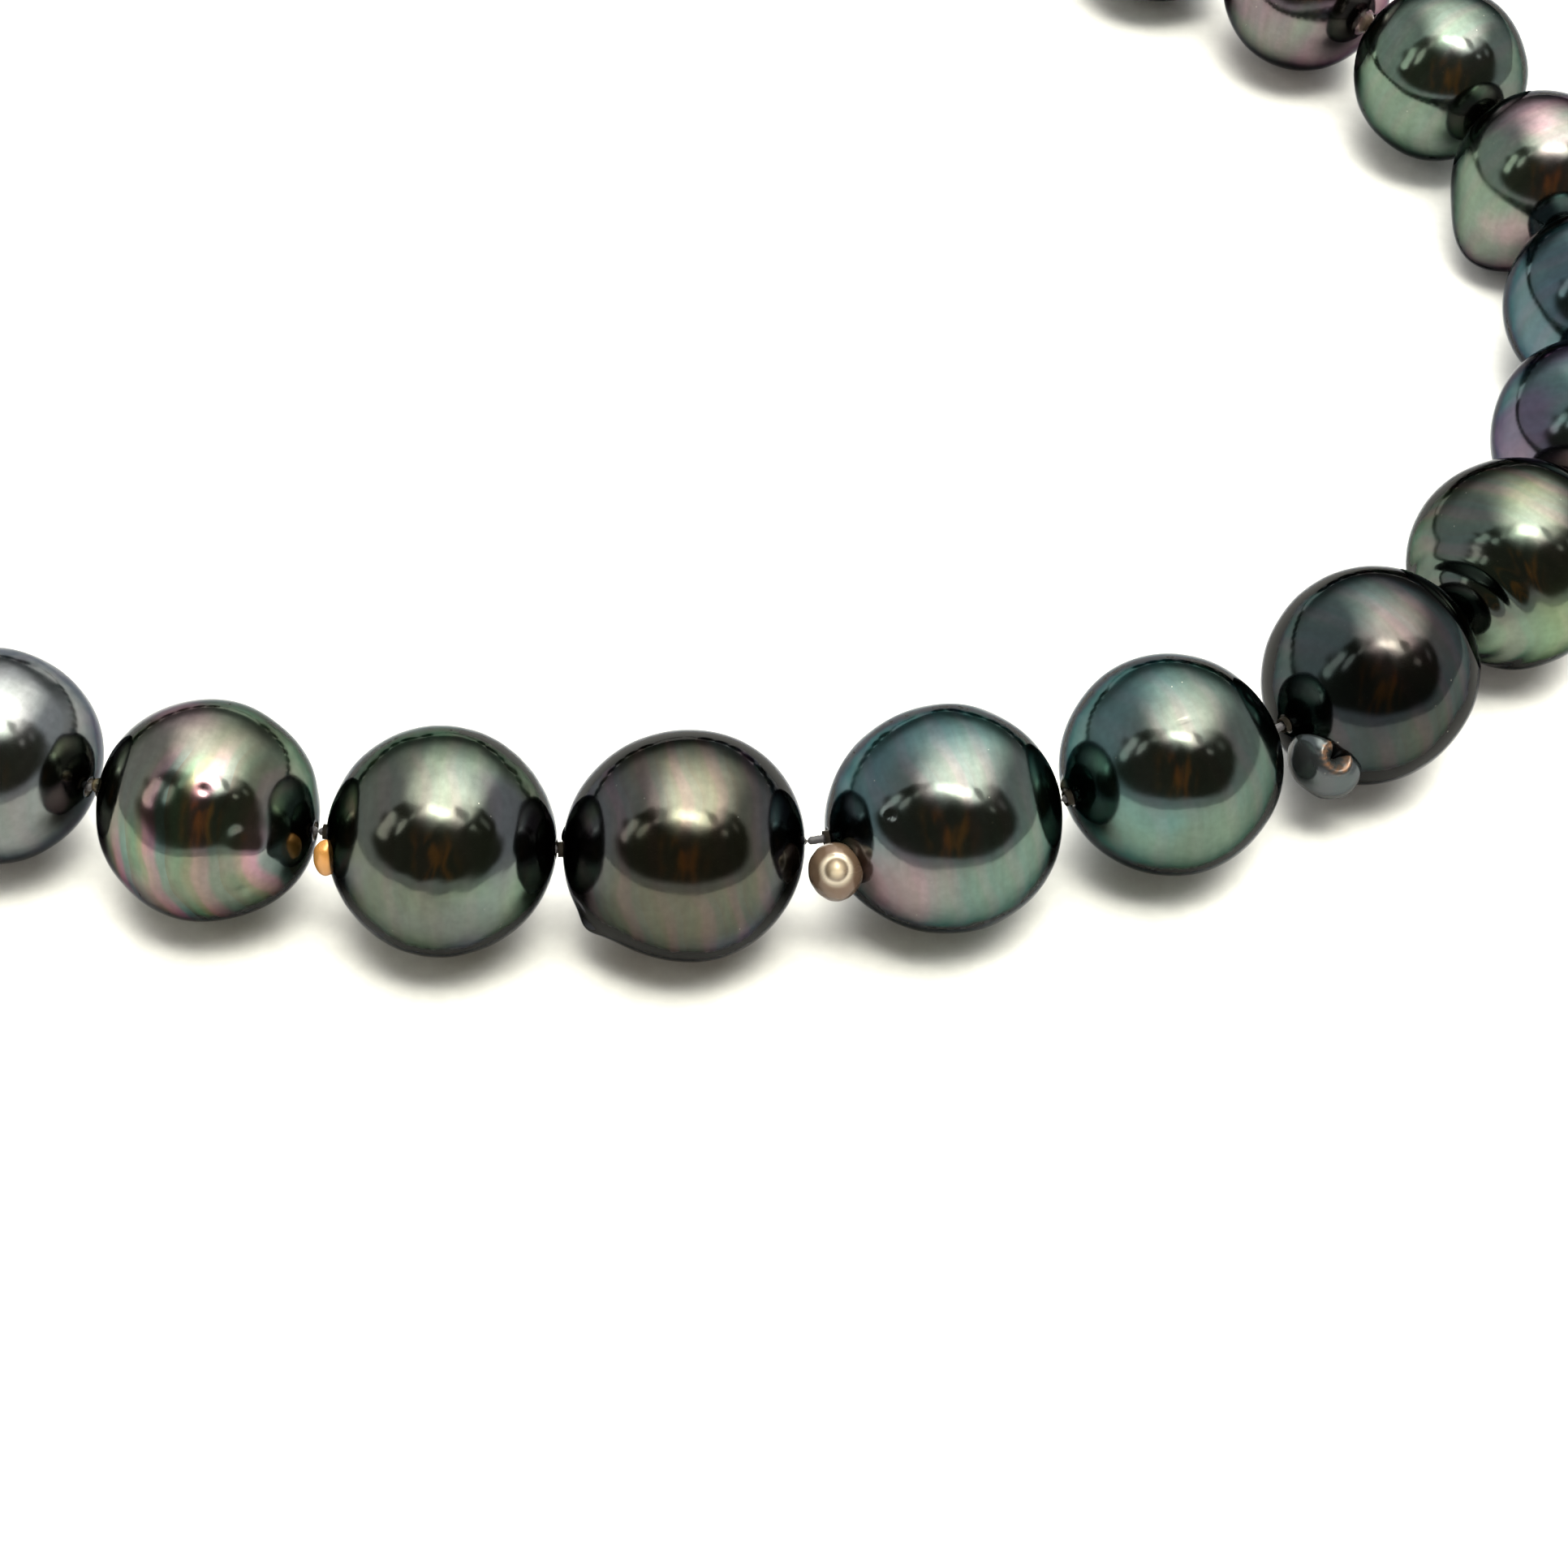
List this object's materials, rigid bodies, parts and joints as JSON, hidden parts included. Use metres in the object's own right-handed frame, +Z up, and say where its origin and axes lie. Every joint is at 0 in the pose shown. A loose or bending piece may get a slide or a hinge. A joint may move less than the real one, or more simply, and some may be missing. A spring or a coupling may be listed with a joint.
{
  "type": "pearl necklace",
  "caption": "Graduated strand of dark baroque pearls laid in an oval, drilled and strung on silk, with a swivel lobster claw clasp.",
  "frame": {"origin": "on the plane the strand lies on, under the middle of its box", "axes": "+X along the oval's length to the right, +Y from the front centre pearl to the clasp, +Z up"},
  "size_m": [0.1611, 0.1173, 0.0144],
  "materials": {
    "nacre_01": "polished nacre, dark body with soft overtones",
    "nacre_02": "polished nacre, dark body with soft overtones",
    "nacre_03": "polished nacre, dark body with soft overtones",
    "nacre_04": "polished nacre, dark body with soft overtones",
    "nacre_05": "polished nacre, dark body with soft overtones",
    "nacre_06": "polished nacre, dark body with soft overtones",
    "nacre_07": "polished nacre, dark body with soft overtones",
    "nacre_08": "polished nacre, dark body with soft overtones",
    "nacre_09": "polished nacre, dark body with soft overtones",
    "nacre_10": "polished nacre, dark body with soft overtones",
    "nacre_11": "polished nacre, dark body with soft overtones",
    "nacre_12": "polished nacre, dark body with soft overtones",
    "nacre_13": "polished nacre, dark body with soft overtones",
    "nacre_14": "polished nacre, dark body with soft overtones",
    "nacre_15": "polished nacre, dark body with soft overtones",
    "nacre_16": "polished nacre, dark body with soft overtones",
    "nacre_17": "polished nacre, dark body with soft overtones",
    "nacre_18": "polished nacre, dark body with soft overtones",
    "nacre_19": "polished nacre, dark body with soft overtones",
    "nacre_20": "polished nacre, dark body with soft overtones",
    "nacre_21": "polished nacre, dark body with soft overtones",
    "nacre_22": "polished nacre, dark body with soft overtones",
    "nacre_23": "polished nacre, dark body with soft overtones",
    "nacre_24": "polished nacre, dark body with soft overtones",
    "nacre_25": "polished nacre, dark body with soft overtones",
    "nacre_26": "polished nacre, dark body with soft overtones",
    "nacre_27": "polished nacre, dark body with soft overtones",
    "silk": "twisted silk",
    "white_metal": "polished",
    "gimp_wire": "fine coiled wire",
    "spring_steel": "satin"
  },
  "bodies": {
    "front_pearl": {"pearl_14": "nacre_14", "silk_thread": "silk"},
    "pearl_15": {"pearl_15": "nacre_15"},
    "pearl_16": {"pearl_16": "nacre_16"},
    "pearl_17": {"pearl_17": "nacre_17"},
    "pearl_18": {"pearl_18": "nacre_18"},
    "pearl_19": {"pearl_19": "nacre_19"},
    "pearl_20": {"pearl_20": "nacre_20"},
    "pearl_21": {"pearl_21": "nacre_21"},
    "pearl_22": {"pearl_22": "nacre_22"},
    "pearl_23": {"pearl_23": "nacre_23"},
    "pearl_24": {"pearl_24": "nacre_24"},
    "pearl_25": {"pearl_25": "nacre_25"},
    "pearl_26": {"pearl_26": "nacre_26"},
    "pearl_27": {"pearl_27": "nacre_27", "gimp_right": "gimp_wire"},
    "pearl_13": {"pearl_13": "nacre_13"},
    "pearl_12": {"pearl_12": "nacre_12"},
    "pearl_11": {"pearl_11": "nacre_11"},
    "pearl_10": {"pearl_10": "nacre_10"},
    "pearl_09": {"pearl_09": "nacre_09"},
    "pearl_08": {"pearl_08": "nacre_08"},
    "pearl_07": {"pearl_07": "nacre_07"},
    "pearl_06": {"pearl_06": "nacre_06"},
    "pearl_05": {"pearl_05": "nacre_05"},
    "pearl_04": {"pearl_04": "nacre_04"},
    "pearl_03": {"pearl_03": "nacre_03"},
    "pearl_02": {"pearl_02": "nacre_02"},
    "pearl_01": {"pearl_01": "nacre_01", "gimp_left": "gimp_wire"},
    "ring_left": {"ring_left": "white_metal"},
    "clasp_eye": {"clasp_eye": "white_metal"},
    "clasp_claw": {"clasp_claw": "white_metal", "clasp_rivet": "spring_steel", "clasp_spring": "spring_steel"},
    "clasp_lever": {"clasp_lever": "white_metal"},
    "ring_right": {"ring_right": "white_metal"}
  },
  "joints": [
    {"name": "strand_14_15", "type": "hinge", "parent": "front_pearl", "child": "pearl_15", "pos_m": [0.00745, -0.05212, 0.00722], "axis": [0, 0, -1], "range_deg": [0, 8.3], "deforming": ["silk_thread"]},
    {"name": "strand_15_16", "type": "hinge", "parent": "pearl_15", "child": "pearl_16", "pos_m": [0.02249, -0.04992, 0.00722], "axis": [0, 0, -1], "range_deg": [0, 9.2], "deforming": ["silk_thread"]},
    {"name": "strand_16_17", "type": "hinge", "parent": "pearl_16", "child": "pearl_17", "pos_m": [0.03798, -0.04501, 0.00715], "axis": [0, 0, -1], "range_deg": [0, 10.3], "deforming": ["silk_thread"]},
    {"name": "strand_17_18", "type": "hinge", "parent": "pearl_17", "child": "pearl_18", "pos_m": [0.051, -0.03809, 0.00712], "axis": [0, 0, -1], "range_deg": [0, 12.4], "deforming": ["silk_thread"]},
    {"name": "strand_18_19", "type": "hinge", "parent": "pearl_18", "child": "pearl_19", "pos_m": [0.06292, -0.02794, 0.0071], "axis": [0, 0, -1], "range_deg": [0, 15.6], "deforming": ["silk_thread"]},
    {"name": "strand_19_20", "type": "hinge", "parent": "pearl_19", "child": "pearl_20", "pos_m": [0.07098, -0.01595, 0.00695], "axis": [0, 0, -1], "range_deg": [0, 18.5], "deforming": ["silk_thread"]},
    {"name": "strand_20_21", "type": "hinge", "parent": "pearl_20", "child": "pearl_21", "pos_m": [0.07464, -0.00259, 0.00675], "axis": [0, 0, -1], "range_deg": [0, 20.3], "deforming": ["silk_thread"]},
    {"name": "strand_21_22", "type": "hinge", "parent": "pearl_21", "child": "pearl_22", "pos_m": [0.07346, 0.01081, 0.00657], "axis": [0, 0, -1], "range_deg": [0, 19.1], "deforming": ["silk_thread"]},
    {"name": "strand_22_23", "type": "hinge", "parent": "pearl_22", "child": "pearl_23", "pos_m": [0.06804, 0.0229, 0.00652], "axis": [0, 0, -1], "range_deg": [0, 15.9], "deforming": ["silk_thread"]},
    {"name": "strand_23_24", "type": "hinge", "parent": "pearl_23", "child": "pearl_24", "pos_m": [0.05951, 0.03304, 0.00655], "axis": [0, 0, -1], "range_deg": [0, 12.9], "deforming": ["silk_thread"]},
    {"name": "strand_24_25", "type": "hinge", "parent": "pearl_24", "child": "pearl_25", "pos_m": [0.04861, 0.04125, 0.00647], "axis": [0, 0, -1], "range_deg": [0, 10.4], "deforming": ["silk_thread"]},
    {"name": "strand_25_26", "type": "hinge", "parent": "pearl_25", "child": "pearl_26", "pos_m": [0.03703, 0.04704, 0.00635], "axis": [0, 0, -1], "range_deg": [0, 8.5], "deforming": ["silk_thread"]},
    {"name": "strand_26_27", "type": "hinge", "parent": "pearl_26", "child": "pearl_27", "pos_m": [0.0249, 0.05098, 0.00625], "axis": [0, 0, -1], "range_deg": [0, 7.5], "deforming": ["silk_thread"]},
    {"name": "strand_13_14", "type": "hinge", "parent": "front_pearl", "child": "pearl_13", "pos_m": [-0.00745, -0.05212, 0.0071], "axis": [0, 0, 1], "range_deg": [0, 8.1], "deforming": ["silk_thread"]},
    {"name": "strand_12_13", "type": "hinge", "parent": "pearl_13", "child": "pearl_12", "pos_m": [-0.02186, -0.05006, 0.00692], "axis": [0, 0, 1], "range_deg": [0, 8.2], "deforming": ["silk_thread"]},
    {"name": "strand_11_12", "type": "hinge", "parent": "pearl_12", "child": "pearl_11", "pos_m": [-0.03514, -0.04615, 0.0068], "axis": [0, 0, 1], "range_deg": [0, 8.9], "deforming": ["silk_thread"]},
    {"name": "strand_10_11", "type": "hinge", "parent": "pearl_11", "child": "pearl_10", "pos_m": [-0.04748, -0.0403, 0.00672], "axis": [0, 0, 1], "range_deg": [0, 10.4], "deforming": ["silk_thread"]},
    {"name": "strand_09_10", "type": "hinge", "parent": "pearl_10", "child": "pearl_09", "pos_m": [-0.05847, -0.03237, 0.0067], "axis": [0, 0, 1], "range_deg": [0, 12.9], "deforming": ["silk_thread"]},
    {"name": "strand_08_09", "type": "hinge", "parent": "pearl_09", "child": "pearl_08", "pos_m": [-0.06766, -0.02188, 0.00667], "axis": [0, 0, 1], "range_deg": [0, 16.2], "deforming": ["silk_thread"]},
    {"name": "strand_07_08", "type": "hinge", "parent": "pearl_08", "child": "pearl_07", "pos_m": [-0.07334, -0.00968, 0.00662], "axis": [0, 0, 1], "range_deg": [0, 19], "deforming": ["silk_thread"]},
    {"name": "strand_06_07", "type": "hinge", "parent": "pearl_07", "child": "pearl_06", "pos_m": [-0.07471, 0.00359, 0.00657], "axis": [0, 0, 1], "range_deg": [0, 19.8], "deforming": ["silk_thread"]},
    {"name": "strand_05_06", "type": "hinge", "parent": "pearl_06", "child": "pearl_05", "pos_m": [-0.07151, 0.01645, 0.00652], "axis": [0, 0, 1], "range_deg": [0, 17.8], "deforming": ["silk_thread"]},
    {"name": "strand_04_05", "type": "hinge", "parent": "pearl_05", "child": "pearl_04", "pos_m": [-0.06441, 0.02788, 0.00647], "axis": [0, 0, 1], "range_deg": [0, 14.4], "deforming": ["silk_thread"]},
    {"name": "strand_03_04", "type": "hinge", "parent": "pearl_04", "child": "pearl_03", "pos_m": [-0.05498, 0.0369, 0.0064], "axis": [0, 0, 1], "range_deg": [0, 11.3], "deforming": ["silk_thread"]},
    {"name": "strand_02_03", "type": "hinge", "parent": "pearl_03", "child": "pearl_02", "pos_m": [-0.04413, 0.04378, 0.00632], "axis": [0, 0, 1], "range_deg": [0, 9.3], "deforming": ["silk_thread"]},
    {"name": "strand_01_02", "type": "hinge", "parent": "pearl_02", "child": "pearl_01", "pos_m": [-0.0324, 0.04877, 0.00625], "axis": [0, 0, 1], "range_deg": [0, 8], "deforming": ["silk_thread"]},
    {"name": "ring_left_swing", "type": "hinge", "parent": "pearl_01", "child": "ring_left", "pos_m": [-0.01538, 0.05236, 0.00165], "axis": [0, 0, 1], "range_deg": [0, 20]},
    {"name": "eye_swing", "type": "hinge", "parent": "ring_left", "child": "clasp_eye", "pos_m": [-0.01148, 0.05251, 0.00165], "axis": [0, 0, 1], "range_deg": [0, 20]},
    {"name": "claw_swivel", "type": "hinge", "parent": "clasp_eye", "child": "clasp_claw", "pos_m": [-0.01148, 0.05251, 0.00165], "axis": [0.9993, 0.0374, 0], "range_deg": [-90, 90]},
    {"name": "lever_trigger", "type": "hinge", "parent": "clasp_claw", "child": "clasp_lever", "pos_m": [-0.00603, 0.05401, 0.00165], "axis": [0, 0, -1], "range_deg": [0, 18], "stiffness_Nm_per_rad": 0.001, "springref_deg": -11.46, "deforming": ["clasp_spring"]},
    {"name": "ring_right_swing", "type": "hinge", "parent": "pearl_27", "child": "ring_right", "pos_m": [0.00765, 0.05323, 0.00165], "axis": [0, 0, -1], "range_deg": [0, 20]}
  ]
}
